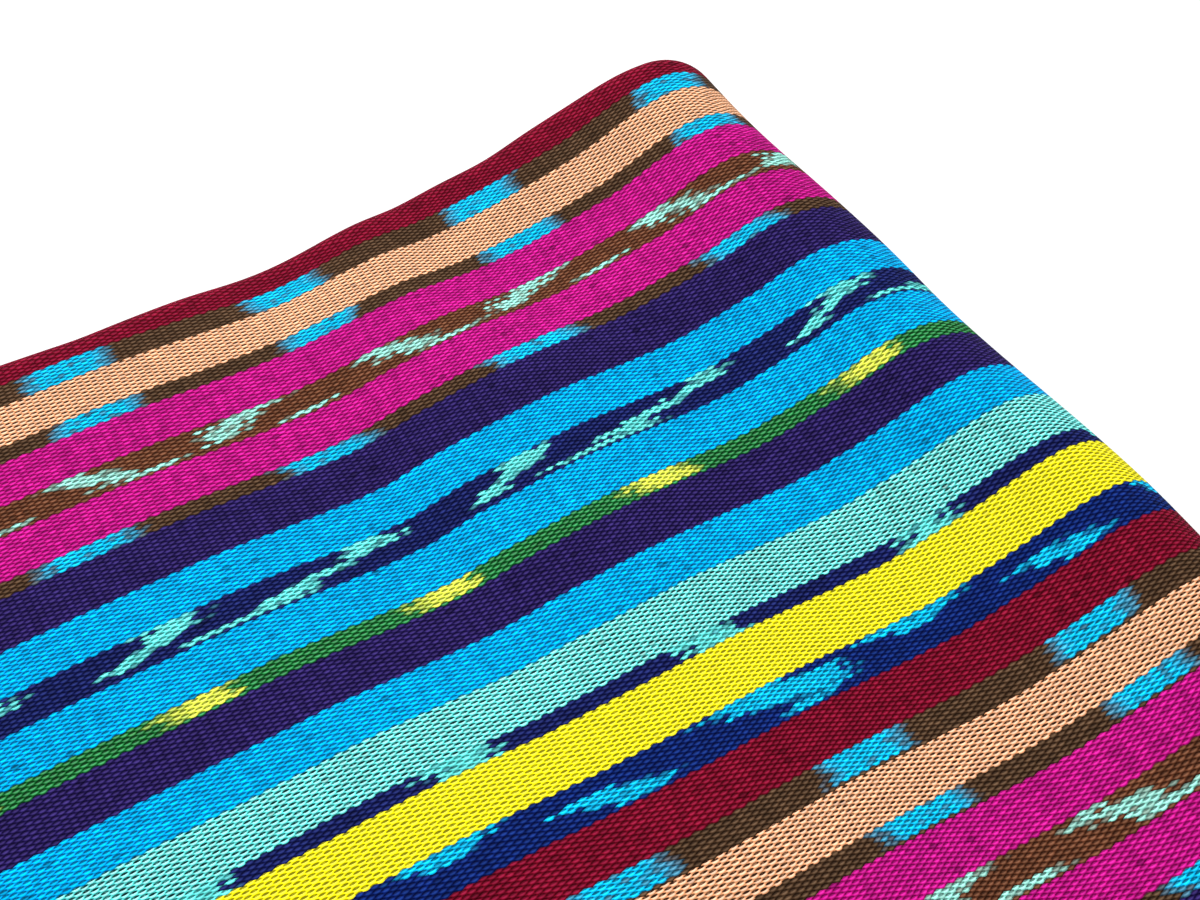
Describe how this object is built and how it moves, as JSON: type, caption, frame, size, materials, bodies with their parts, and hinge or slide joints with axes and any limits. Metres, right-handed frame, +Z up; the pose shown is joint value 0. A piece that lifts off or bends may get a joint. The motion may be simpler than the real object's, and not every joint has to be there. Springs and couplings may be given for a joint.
{
  "type": "folded length of ikat cloth",
  "caption": "Cut length of striped warp-faced ikat cotton, doubled along its warp and folded back and forth into a soft, uneven pad with a plump end fold.",
  "frame": {"origin": "centre of the pad's box, on the surface it lies on", "axes": "+X along the warp towards the plump outer fold, +Y towards the edge where the cloth is doubled, +Z up"},
  "size_m": [0.2274, 0.1986, 0.0293],
  "materials": {
    "cloth": "matt warp-faced cotton with bright stripes and soft-edged ikat marks"
  },
  "bodies": {
    "root": {"ikat_cloth": "cloth"}
  },
  "joints": []
}
